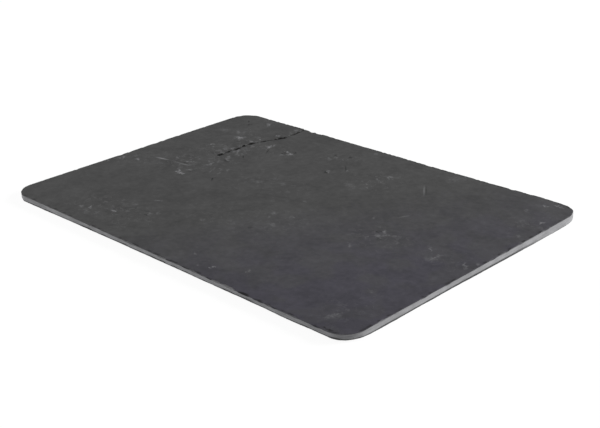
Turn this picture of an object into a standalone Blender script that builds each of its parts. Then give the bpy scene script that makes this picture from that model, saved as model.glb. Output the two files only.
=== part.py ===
"""Slate slab: one sheet of natural slate, split along its cleavage and cut to a rounded rectangle.

Metres, +Z up. The origin is at the middle of the flat underside, and the long sides run along X.
The sheet is made as the real one is: a block is cut to the outline, its lower arris is broken
back, the layers above the riven face are split off it, and the upper arris is chipped.
"""

import bmesh
import bpy
import numpy as np

# Driving dimensions
LENGTH = 0.350
WIDTH = 0.248
THICKNESS = 0.0051
CORNER_RADIUS = 0.0164

# The block stands this high before the riven face is split.
BLOCK_HEIGHT = 0.0100
# Where the split rose or fell away: x, y, reach along x, reach along y, rise.
RISES = (
    (0.143, 0.124, 0.020, 0.030, 0.00035),
    (-0.075, 0.124, 0.009, 0.012, 0.00030),
    (0.045, 0.124, 0.030, 0.030, -0.00025),
    (0.175, -0.098, 0.035, 0.030, 0.00035),
    (0.104, -0.124, 0.024, 0.020, -0.00030),
    (-0.175, -0.050, 0.030, 0.018, -0.00012),
)
# The riven relief: size of its swells, height above and below the mean, seed.
RELIEF = (
    (0.100, 0.00015, 11),
    (0.040, 0.00010, 12),
    (0.016, 0.00007, 13),
)
LATTICE = 32
# Most distance between the lines of the riven face.
SPACING = 0.0060

# The crack runs in from the back side: the places along y and x where it bends.
CRACK_BENDS_Y = (0.031, 0.047, 0.060, 0.068, 0.079, 0.090, 0.097, 0.107, 0.117, 0.124)
CRACK_BENDS_X = (-0.1100, -0.1094, -0.1105, -0.1095, -0.1060, -0.1010, -0.0980, -0.0985, -0.0990, -0.1035)
CRACK_X = -0.1060
CRACK_END_Y = 0.028
CRACK_FADE = 0.010
CRACK_HALF_WIDTH = 0.0005
CRACK_DEPTH = 0.0014
# How far beside the crack the lines of the riven face lean with it.
LEAN_REACH = 0.030
# To the left of the crack a layer stands higher, most at the back side.
LEDGE_HEIGHT = 0.00045
LEDGE_REACH = 0.070

# The lower arris is broken back. Along each way round from the left corner to the right corner:
# distance run, inset of the foot, height of the break.
FRONT_WAY_BREAK = (
    (0.000, 0.0008, 0.0012),
    (0.040, 0.0009, 0.0014),
    (0.060, 0.0013, 0.0017),
    (0.095, 0.0018, 0.0022),
    (0.160, 0.0021, 0.0024),
    (0.250, 0.0023, 0.0024),
    (0.360, 0.0021, 0.0022),
    (0.372, 0.0009, 0.0014),
    (0.415, 0.0007, 0.0013),
    (0.450, 0.0004, 0.0011),
    (0.480, 0.0002, 0.0007),
    (0.560, 0.0002, 0.0005),
    (0.598, 0.0003, 0.0005),
)
BACK_WAY_BREAK = (
    (0.000, 0.0008, 0.0012),
    (0.248, 0.0009, 0.0013),
    (0.500, 0.0008, 0.0012),
    (0.598, 0.0003, 0.0005),
)
CURVE_BREAK = 0.0008

# Chips of the upper arris: how far along the side, length, bite into the face, drop down the edge.
FRONT_CHIPS = (
    (-0.123, 0.005, 0.0008, 0.0004),
    (-0.073, 0.006, 0.0007, 0.0004),
    (-0.057, 0.005, 0.0007, 0.0004),
    (-0.027, 0.016, 0.0011, 0.0006),
    (0.008, 0.009, 0.0010, 0.0005),
    (0.040, 0.009, 0.0011, 0.0006),
    (0.050, 0.005, 0.0008, 0.0004),
    (0.063, 0.009, 0.0016, 0.0007),
    (0.075, 0.010, 0.0019, 0.0008),
    (0.087, 0.012, 0.0026, 0.0009),
    (0.110, 0.006, 0.0009, 0.0005),
    (0.131, 0.010, 0.0009, 0.0005),
    (0.150, 0.006, 0.0007, 0.0004),
)
RIGHT_CHIPS = (
    (-0.093, 0.006, 0.0007, 0.0003),
    (-0.053, 0.006, 0.0009, 0.0004),
    (-0.030, 0.005, 0.0007, 0.0003),
    (0.018, 0.005, 0.0008, 0.0004),
    (0.033, 0.006, 0.0009, 0.0004),
    (0.050, 0.005, 0.0009, 0.0004),
    (0.080, 0.007, 0.0008, 0.0003),
)
BACK_CHIPS = (
    (-0.0915, 0.006, 0.0016, 0.0008),
    (-0.0845, 0.006, 0.0012, 0.0006),
    (0.038, 0.006, 0.0010, 0.0003),
    (0.116, 0.005, 0.0010, 0.0005),
    (0.131, 0.007, 0.0007, 0.0003),
)
# Chips are centred this far outside and above the arris, so that no corner of one lies on it.
CHIP_SHIFT = 0.0001

SLATE_GREY = (0.070, 0.070, 0.072, 1.0)
SLATE_ROUGHNESS = 0.75

# A quarter arc's handles are this share of its radius.
ARC_HANDLE = 0.5523
OUTLINE_STEPS = 8


def clear_scene():
    for obj in list(bpy.data.objects):
        bpy.data.objects.remove(obj, do_unlink=True)


def collection_named(name):
    collection = bpy.data.collections.new(name)
    bpy.context.scene.collection.children.link(collection)
    return collection


def slate_material():
    """Riven slate: dark grey and dull."""
    material = bpy.data.materials.new("riven slate")
    material.use_nodes = True
    shader = material.node_tree.nodes["Principled BSDF"]
    shader.inputs["Base Color"].default_value = SLATE_GREY
    shader.inputs["Roughness"].default_value = SLATE_ROUGHNESS
    shader.inputs["Metallic"].default_value = 0.0
    return material


def rounded_outline():
    """The outline as a flat curve: a quarter arc at each corner, with a straight between two arcs."""
    curve = bpy.data.curves.new("outline", "CURVE")
    curve.dimensions = "2D"
    curve.fill_mode = "BOTH"
    curve.resolution_u = OUTLINE_STEPS
    curve.bevel_depth = CURVE_BREAK
    curve.bevel_resolution = 0
    curve.offset = -CURVE_BREAK
    curve.extrude = BLOCK_HEIGHT / 2 - CURVE_BREAK
    spline = curve.splines.new("BEZIER")
    spline.bezier_points.add(7)
    points = iter(spline.bezier_points)
    for side_x, side_y in ((1, -1), (1, 1), (-1, 1), (-1, -1)):
        corner = (side_x * LENGTH / 2, side_y * WIDTH / 2)
        on_long_side = (corner[0] - side_x * CORNER_RADIUS, corner[1])
        on_short_side = (corner[0], corner[1] - side_y * CORNER_RADIUS)
        # Going round counter-clockwise, two of the corners are met along a long side.
        along_first = side_x * side_y < 0
        ends = (on_long_side, on_short_side) if along_first else (on_short_side, on_long_side)
        for place, begins_arc in zip(ends, (True, False)):
            point = next(points)
            point.co = (*place, 0.0)
            inner = [p + (c - p) * ARC_HANDLE for p, c in zip(place, corner)]
            outer = [p - (c - p) * ARC_HANDLE for p, c in zip(place, corner)]
            point.handle_left = (*(outer if begins_arc else inner), 0.0)
            point.handle_right = (*(inner if begins_arc else outer), 0.0)
    spline.use_cyclic_u = True
    return bpy.data.objects.new("outline", curve)


def block_from_outline(collection):
    """The cut block as a mesh, standing on z = 0, with its lower arris broken back."""
    outline = rounded_outline()
    outline.location.z = BLOCK_HEIGHT / 2
    collection.objects.link(outline)
    bpy.context.view_layer.update()
    graph = bpy.context.evaluated_depsgraph_get()
    mesh = bpy.data.meshes.new_from_object(outline.evaluated_get(graph))
    mesh.transform(outline.matrix_world)
    bpy.data.objects.remove(outline)
    work = bmesh.new()
    work.from_mesh(mesh)
    bmesh.ops.remove_doubles(work, verts=work.verts, dist=0.00001)
    break_lower_arris(work)
    bmesh.ops.recalc_face_normals(work, faces=work.faces)
    work.to_mesh(mesh)
    work.free()
    slab = bpy.data.objects.new("slab", mesh)
    collection.objects.link(slab)
    return slab


def lower_break(x, y):
    """Inset of the foot and height of the break there, read along the way round that the place is on."""
    run = (x + LENGTH / 2) + (y + WIDTH / 2)
    way = FRONT_WAY_BREAK if x / LENGTH > y / WIDTH else BACK_WAY_BREAK
    distances, insets, heights = zip(*way)
    return np.interp(run, distances, insets), np.interp(run, distances, heights)


def inward(x, y):
    """Unit vector from a place on the outline straight into the slab."""
    core_x = np.clip(x, CORNER_RADIUS - LENGTH / 2, LENGTH / 2 - CORNER_RADIUS)
    core_y = np.clip(y, CORNER_RADIUS - WIDTH / 2, WIDTH / 2 - CORNER_RADIUS)
    towards = np.array((core_x - x, core_y - y))
    return towards / np.linalg.norm(towards)


def break_lower_arris(work):
    """Moves the foot in and the line above it up, from the curve's even break to the real one.

    The underside is one face while its outline moves, so that it is filled afresh afterwards.
    """
    underside = [face for face in work.faces if all(vert.co.z < CURVE_BREAK / 2 for vert in face.verts)]
    bmesh.ops.dissolve_faces(work, faces=underside)
    for vert in work.verts:
        if vert.co.z > BLOCK_HEIGHT / 2:
            continue
        inset, height = lower_break(vert.co.x, vert.co.y)
        if vert.co.z > CURVE_BREAK / 2:
            vert.co.z = height
        else:
            step = inward(vert.co.x, vert.co.y) * (inset - CURVE_BREAK)
            vert.co.x += step[0]
            vert.co.y += step[1]


def smoothstep(t):
    t = np.clip(t, 0.0, 1.0)
    return t * t * (3.0 - 2.0 * t)


def swells(x, y, size, seed):
    """Smooth random heights between -1 and 1: a lattice of values, blended between its points."""
    values = np.random.default_rng(seed).uniform(-1.0, 1.0, (LATTICE, LATTICE))
    u, v = x / size + LATTICE / 2, y / size + LATTICE / 2
    i, j = np.floor(u).astype(int), np.floor(v).astype(int)
    s, t = smoothstep(u - i), smoothstep(v - j)
    low = values[i, j] * (1 - s) + values[i + 1, j] * s
    high = values[i, j + 1] * (1 - s) + values[i + 1, j + 1] * s
    return low * (1 - t) + high * t


def crack_x(y):
    """Where the crack is across the slab, at each place along its run."""
    return np.interp(y, CRACK_BENDS_Y, CRACK_BENDS_X)


def riven_height(x, y):
    """Height of the riven face: thickness, rises, relief, the layer left of the crack, the crack."""
    height = THICKNESS + 0 * x
    for rise_x, rise_y, reach_x, reach_y, rise in RISES:
        height = height + rise * np.exp(-(((x - rise_x) / reach_x) ** 2) - ((y - rise_y) / reach_y) ** 2)
    for size, rise, seed in RELIEF:
        height = height + rise * swells(x, y, size, seed)
    left_of_crack = crack_x(y) - x
    on_layer = (left_of_crack > 0) * np.clip(1 - left_of_crack / LEDGE_REACH, 0, 1)
    height = height + LEDGE_HEIGHT * on_layer * smoothstep((y - CRACK_END_Y) / (WIDTH / 2 - CRACK_END_Y))
    in_crack = np.abs(left_of_crack) < CRACK_HALF_WIDTH / 2
    return height - CRACK_DEPTH * in_crack * smoothstep((y - CRACK_END_Y) / CRACK_FADE)


def lines_across(reach):
    """Evenly spaced lines from -reach to reach, no further apart than the spacing."""
    return np.linspace(-reach, reach, 1 + int(np.ceil(2 * reach / SPACING)))


def waste_above(collection):
    """What the split takes off: a grid laid on the riven face, and raised past the block's top.

    The grid's columns lean over to follow the crack. Three of them run close together along it:
    its left lip, which stands on the higher layer, its bottom and its right lip.
    """
    columns = lines_across(LENGTH / 2 + SPACING)
    columns = columns[np.abs(columns - CRACK_X) > SPACING / 2]
    crack_columns = CRACK_X + CRACK_HALF_WIDTH * np.array((-1, 0, 1))
    columns = np.sort(np.concatenate((columns, crack_columns)))
    rows = lines_across(WIDTH / 2 + SPACING)
    column, row = np.meshgrid(columns, rows)
    beside = np.abs(column - CRACK_X)
    lean = np.where(beside < 2 * CRACK_HALF_WIDTH, 1.0, np.clip(1 - beside / LEAN_REACH, 0, 1))
    x = column + lean * (crack_x(row) - CRACK_X)
    places = np.stack((x, row, riven_height(x, row)), axis=2).reshape(-1, 3)
    work = bmesh.new()
    bmesh.ops.create_grid(work, x_segments=len(columns) - 1, y_segments=len(rows) - 1, size=1.0)
    for vert, place in zip(work.verts, places):
        vert.co = place
    raised = bmesh.ops.extrude_face_region(work, geom=work.faces[:])["geom"]
    for vert in (item for item in raised if isinstance(item, bmesh.types.BMVert)):
        vert.co.z = BLOCK_HEIGHT + SPACING
    bmesh.ops.recalc_face_normals(work, faces=work.faces)
    return cutter_from(work, "waste_above", collection)


def chip_places():
    """Each chip's centre on the upper arris, its half size along x and along y, and its drop."""
    half_length, half_width = LENGTH / 2 + CHIP_SHIFT, WIDTH / 2 + CHIP_SHIFT
    for chips, y in ((FRONT_CHIPS, -half_width), (BACK_CHIPS, half_width)):
        for along, length, bite, drop in chips:
            yield along, y, length / 2, bite, drop
    for along, length, bite, drop in RIGHT_CHIPS:
        yield half_length, along, bite, length / 2, drop


def arris_chips(collection):
    """All the chips as one cutter: flattened, faceted balls centred on the upper arris."""
    work = bmesh.new()
    for x, y, half_x, half_y, drop in chip_places():
        ball = bmesh.ops.create_icosphere(work, subdivisions=2, radius=1.0)["verts"]
        bmesh.ops.scale(work, verts=ball, vec=(half_x, half_y, drop))
        top = riven_height(np.array(x), np.array(y)) + CHIP_SHIFT
        bmesh.ops.translate(work, verts=ball, vec=(x, y, float(top)))
    return cutter_from(work, "arris_chips", collection)


def cutter_from(work, name, collection):
    """Turns the mesh being worked on into a cutter: a guide that is never part of the slab."""
    mesh = bpy.data.meshes.new(name)
    work.to_mesh(mesh)
    work.free()
    cutter = bpy.data.objects.new(name, mesh)
    cutter.hide_render = True
    cutter.display_type = "WIRE"
    collection.objects.link(cutter)
    return cutter


def cut(piece, cutter):
    boolean = piece.modifiers.new(cutter.name, "BOOLEAN")
    boolean.operation = "DIFFERENCE"
    boolean.solver = "EXACT"
    boolean.object = cutter


def main():
    clear_scene()
    parts = collection_named("slate slab")
    cutters = collection_named("cutters")
    slab = block_from_outline(parts)
    slab.data.materials.clear()
    slab.data.materials.append(slate_material())
    cut(slab, waste_above(cutters))
    cut(slab, arris_chips(cutters))


main()
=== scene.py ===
import bpy
import numpy as np
from mathutils import Matrix, Vector


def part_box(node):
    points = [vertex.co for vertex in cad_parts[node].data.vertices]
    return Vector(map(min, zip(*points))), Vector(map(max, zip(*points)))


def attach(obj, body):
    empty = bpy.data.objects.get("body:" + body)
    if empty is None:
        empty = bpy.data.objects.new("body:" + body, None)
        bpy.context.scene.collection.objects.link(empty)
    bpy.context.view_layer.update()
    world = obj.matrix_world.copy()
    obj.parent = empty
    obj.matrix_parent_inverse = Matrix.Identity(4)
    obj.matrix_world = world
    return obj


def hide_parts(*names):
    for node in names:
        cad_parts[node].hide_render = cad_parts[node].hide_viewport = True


# A slab of natural slate: the riven face, the sawn and broken edges and the underside.
#
# Metres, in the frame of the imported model: +Z up, long sides along X, resting on z = 0. The slab is one
# closed surface: a grid over the riven face whose corners are drawn in to arcs, rows of points round the
# edge from the upper arris down to the foot, and a coarser grid under it.

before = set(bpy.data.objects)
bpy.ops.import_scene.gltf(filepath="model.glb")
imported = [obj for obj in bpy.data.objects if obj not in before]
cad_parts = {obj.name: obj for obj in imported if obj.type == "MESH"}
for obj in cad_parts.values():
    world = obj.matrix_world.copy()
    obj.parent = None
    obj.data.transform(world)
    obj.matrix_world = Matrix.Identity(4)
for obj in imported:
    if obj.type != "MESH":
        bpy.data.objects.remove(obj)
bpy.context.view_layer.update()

MM = 0.001

# The slab's size, from the frame, and the sizes that the frame doesn't give.
slab_low, slab_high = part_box("slab")
LENGTH = slab_high.x - slab_low.x
WIDTH = slab_high.y - slab_low.y
THICKNESS = 5.1 * MM
CORNER_RADIUS = 16.4 * MM
OUTLINE_LENGTH = 2 * (LENGTH + WIDTH) - (8 - 2 * np.pi) * CORNER_RADIUS

# The grid: its even step over the face, its closer steps at the rim, the rows down the sawn face and down
# the break under it, how many of its lines one step of the underside takes, and the angle, in degrees,
# past which two faces meet in a sharp edge.
GRID_STEP = 1.25 * MM
RIM_STEPS = np.array((0.90, 0.70, 0.55, 0.45, 0.35, 0.30, 0.25, 0.25)) * MM
FACE_ROWS = 8
BREAK_ROWS = 5
UNDERSIDE_STRIDE = 2
SHARP_ANGLE = 38.0

# How many random values a lattice has along each side, for coarse relief and for fine. The lattice over
# the edge has as many rows as the coarse one.
COARSE_LATTICE = 32
FINE_LATTICE = 256
# Keeps divisors above 0.
TINY = 1e-9

# Where the split rose or fell away: x, y, reach along x, reach along y, rise.
RISES = (
    (0.138, 0.124, 0.025, 0.030, 0.00060),
    (-0.075, 0.124, 0.009, 0.012, 0.00030),
    (0.045, 0.124, 0.030, 0.030, -0.00025),
    (0.175, -0.098, 0.035, 0.030, 0.00035),
    (0.104, -0.124, 0.024, 0.020, -0.00015),
    (-0.175, 0.030, 0.030, 0.030, 0.00025),
)
# The riven relief: size of its swells, height above and below the mean, seed.
RELIEF = (
    (0.100, 0.00015, 11),
    (0.040, 0.00010, 12),
    (0.016, 0.00007, 13),
)
# Finer relief, seen only as a faint mottle: size, height, seed.
FINE_RELIEF = (
    (7.0 * MM, 0.012 * MM, 21),
    (3.2 * MM, 0.008 * MM, 22),
)
# Thin flakes that the split left: sizes, shares and seeds of the field that is cut into levels, how many
# levels it has, the step from one to the next, and the share of a level that the step's slope takes.
FLAKE_FIELD = (
    (46.0 * MM, 1.00, 31),
    (19.0 * MM, 0.45, 32),
    (8.0 * MM, 0.22, 33),
    (4.0 * MM, 0.10, 34),
)
FLAKE_LEVELS = 1.6
FLAKE_STEP = 0.05 * MM
FLAKE_SLOPE = 0.16

# The crack, from inside the slab to the back side: the places along y and x where it bends.
CRACK_BENDS = (
    (0.031, -0.1113),
    (0.037, -0.1102),
    (0.041, -0.1112),
    (0.047, -0.1107),
    (0.056, -0.1098),
    (0.060, -0.1112),
    (0.068, -0.1104),
    (0.079, -0.1061),
    (0.090, -0.1018),
    (0.097, -0.0988),
    (0.107, -0.0993),
    (0.117, -0.0995),
    (0.124, -0.1008),
)
# Its inner end, and the length over which it opens there.
CRACK_END_Y = 0.0295
CRACK_FADE = 1.5 * MM
# The stretches where it stands open: from y, to y, half width.
CRACK_STROKES = (
    (30.5 * MM, 37.5 * MM, 1.35 * MM),
    (37.5 * MM, 49.0 * MM, 0.95 * MM),
    (47.2 * MM, 56.2 * MM, 1.15 * MM),
    (59.0 * MM, 63.2 * MM, 1.30 * MM),
    (64.2 * MM, 70.8 * MM, 1.20 * MM),
    (76.3 * MM, 81.2 * MM, 0.75 * MM),
    (81.0 * MM, 85.0 * MM, 0.25 * MM),
    (88.5 * MM, 99.0 * MM, 1.20 * MM),
    (104.5 * MM, 109.5 * MM, 0.80 * MM),
    (107.5 * MM, 114.0 * MM, 0.80 * MM),
    (112.5 * MM, 117.0 * MM, 0.55 * MM),
    (119.0 * MM, 123.0 * MM, 0.45 * MM),
)
# Its half width between them, its depth, the half width from which on it is that deep, the width of its
# steep sides, and how ragged it is: size along it, share of the half width, seed.
CRACK_HAIRLINE = 0.15 * MM
CRACK_DEPTH = 2.6 * MM
CRACK_FULL_DEPTH_AT = 0.5 * MM
CRACK_SIDE = 0.25 * MM
CRACK_RAGGED = (1.7 * MM, 0.25, 51)
# It runs down slanting to the left, so that its left wall overhangs.
CRACK_SLANT = 1.0 * MM
# Painted shade: the crack's walls are painted dark to the top, over a strip this share wider than the
# crack.
CRACK_PAINTED_SHADE = 0.15
# The line of the grid nearest to the crack leans over to follow it, and the lines within reach lean with
# it. The lines beside it crowd in, by this share and over this reach, from this place along y.
CRACK_LINE = -106.25 * MM
LEAN_REACH = 30.0 * MM
CROWD_SHARE = 0.74
CROWD_REACH = 6.0 * MM
CROWD_START_Y = 10.0 * MM
# To the left of the crack a layer stands higher, most at the back side, and runs out over this reach.
LEDGE_HEIGHT = 0.45 * MM
LEDGE_REACH = 70.0 * MM

# The lower arris is broken back. Along each way round from the left corner to the right corner:
# distance run, inset of the foot, height of the break.
FRONT_WAY_BREAK = (
    (0.000, 0.0003, 0.0010),
    (0.010, 0.0003, 0.0010),
    (0.030, 0.0006, 0.0015),
    (0.060, 0.0010, 0.0019),
    (0.095, 0.0015, 0.0023),
    (0.160, 0.0019, 0.0025),
    (0.280, 0.0020, 0.0025),
    (0.300, 0.0014, 0.0021),
    (0.320, 0.0020, 0.0024),
    (0.360, 0.0021, 0.0023),
    (0.372, 0.0006, 0.0014),
    (0.415, 0.0005, 0.0013),
    (0.450, 0.0004, 0.0011),
    (0.480, 0.0002, 0.0007),
    (0.560, 0.0002, 0.0005),
    (0.598, 0.0003, 0.0005),
)
BACK_WAY_BREAK = (
    (0.000, 0.0003, 0.0010),
    (0.010, 0.0003, 0.0010),
    (0.035, 0.0008, 0.0012),
    (0.248, 0.0009, 0.0013),
    (0.500, 0.0008, 0.0012),
    (0.598, 0.0003, 0.0005),
)
# The inset grows down the break as its share of the height to this power. The break's height varies along
# the edge: size, share, seed.
BREAK_CURVE = 0.8
BREAK_VARIES = (6.0 * MM, 0.2, 62)
# The sawn face's powder is whole down to this height above the break, and gone this much further down.
POWDER_END = 0.25 * MM
POWDER_FADE = 0.9 * MM
# The right side leans out towards its foot: places along y, and how far out the foot is there.
LEAN_OUT = (
    (-0.030, 0.0000),
    (0.000, 0.0003),
    (0.029, 0.0008),
    (0.064, 0.0011),
    (0.101, 0.0013),
    (0.110, 0.0006),
    (0.124, 0.0000),
)
# Low down on the right side a strip of the edge is dark: partly darker unpolished stone, partly painted
# shade of the undercut foot where the slab meets the floor. Its height, over what height its upper edge
# fades, where it ends along y, and over what length it fades there.
STRIP_HEIGHT = 1.6 * MM
STRIP_EDGE = 0.4 * MM
STRIP_END = 85.0 * MM
STRIP_FADE = 50.0 * MM

# Losses along the upper arris, in millimetres: place along the side, length, bite into the face, drop down
# the edge, and how it looks, from 1 where the break is fresh and pale to -1 where its hollow is painted dark
# as shade.
FRONT_CHIPS = (
    (-123, 5, 0.8, 0.40, 0.3),
    (-73, 6, 0.7, 0.40, 0.3),
    (-57, 5, 0.7, 0.40, 0.3),
    (-27, 16, 1.1, 0.60, 0.6),
    (8, 9, 1.0, 0.50, 0.6),
    (15, 6, 0.7, 0.35, -0.2),
    (33, 7, 0.8, 0.45, -0.2),
    (40, 9, 1.1, 0.60, 0.7),
    (50, 5, 0.8, 0.40, 0.5),
    (56, 6, 0.7, 0.35, -0.2),
    (62, 9, 1.6, 0.60, 0.9),
    (73, 13, 2.1, 0.70, 1.0),
    (88, 10, 2.0, 0.45, -0.9),
    (101, 9, 0.9, 0.45, -0.2),
    (110, 6, 0.9, 0.50, 0.5),
    (115, 5, 0.7, 0.40, -0.2),
    (131, 10, 0.9, 0.50, 0.5),
    (150, 6, 0.7, 0.40, -0.2),
)
RIGHT_CHIPS = (
    (-93, 6, 0.7, 0.30, 0.5),
    (-53, 6, 0.9, 0.40, -0.2),
    (-30, 5, 0.7, 0.30, -0.2),
    (18, 5, 0.8, 0.40, -0.2),
    (33, 6, 0.9, 0.40, -0.2),
    (50, 5, 0.9, 0.40, -0.2),
    (80, 7, 0.8, 0.30, -0.2),
)
BACK_CHIPS = (
    (-91.5, 6, 1.6, 0.80, 0.2),
    (-84.5, 6, 1.2, 0.60, 0.2),
    (38, 6, 1.0, 0.30, 0.2),
    (116, 5, 1.0, 0.50, 0.2),
    (131, 7, 0.7, 0.30, 0.2),
)
# A chip has its full look from this depth on.
CHIP_EDGE = 0.2 * MM
# Nibbles all round the upper arris: size along the side, seed, most bite and drop, the swell from which on
# there is one, and how pale they are.
NIBBLE_SIZE = 2.4 * MM
NIBBLE_SEED = 61
NIBBLE_BITE = 1.2 * MM
NIBBLE_DROP = 0.38 * MM
NIBBLE_FROM = 0.30
NIBBLE_PALE = 0.7
# Just inside the arris the face dips in places, and the dips are painted dark as shade: their size along the
# side, seed, how far in and how wide they are, the swell from which on there is one, how much more swell
# makes it whole, the dip, and how dark the painted shade is.
RIM_SIZE = 4.0 * MM
RIM_SEED = 63
RIM_INSET = 1.2 * MM
RIM_WIDTH = 0.7 * MM
RIM_FROM = 0.25
RIM_RISE = 0.4
RIM_DIP = 0.10 * MM
RIM_PAINTED_SHADE = 0.8
# Where the corners' arcs reach out past the even radius or fall short of it: direction out of the corner
# and spread, in degrees, and how far.
CORNER_REACH = (
    (43.0, 10.0, 0.75 * MM),
    (63.0, 14.0, 0.40 * MM),
    (232.0, 34.0, -0.75 * MM),
)

# Relief of the edge: size round the slab, size up the edge, depth, seed. It starts over this height under
# the upper arris, and the foot is this many times as rough as the sawn face.
EDGE_RELIEF = (
    (2.5 * MM, 0.60 * MM, 0.05 * MM, 41),
    (9.0 * MM, 1.60 * MM, 0.06 * MM, 42),
)
EDGE_RELIEF_START = 0.5 * MM
FOOT_ROUGHNESS = 3.5

# The underside: how far its rim stays in from the foot, over what margin it rises to a hollow, how deep
# the hollow is, its even share, and the swells in it: size, share, seed.
UNDERSIDE_CLEAR = 0.4 * MM
UNDERSIDE_MARGIN = 12.0 * MM
UNDERSIDE_HOLLOW = 0.30 * MM
UNDERSIDE_EVEN = 0.5
UNDERSIDE_SWELLS = (
    (28.0 * MM, 0.3, 71),
    (9.0 * MM, 0.2, 72),
)

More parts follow.
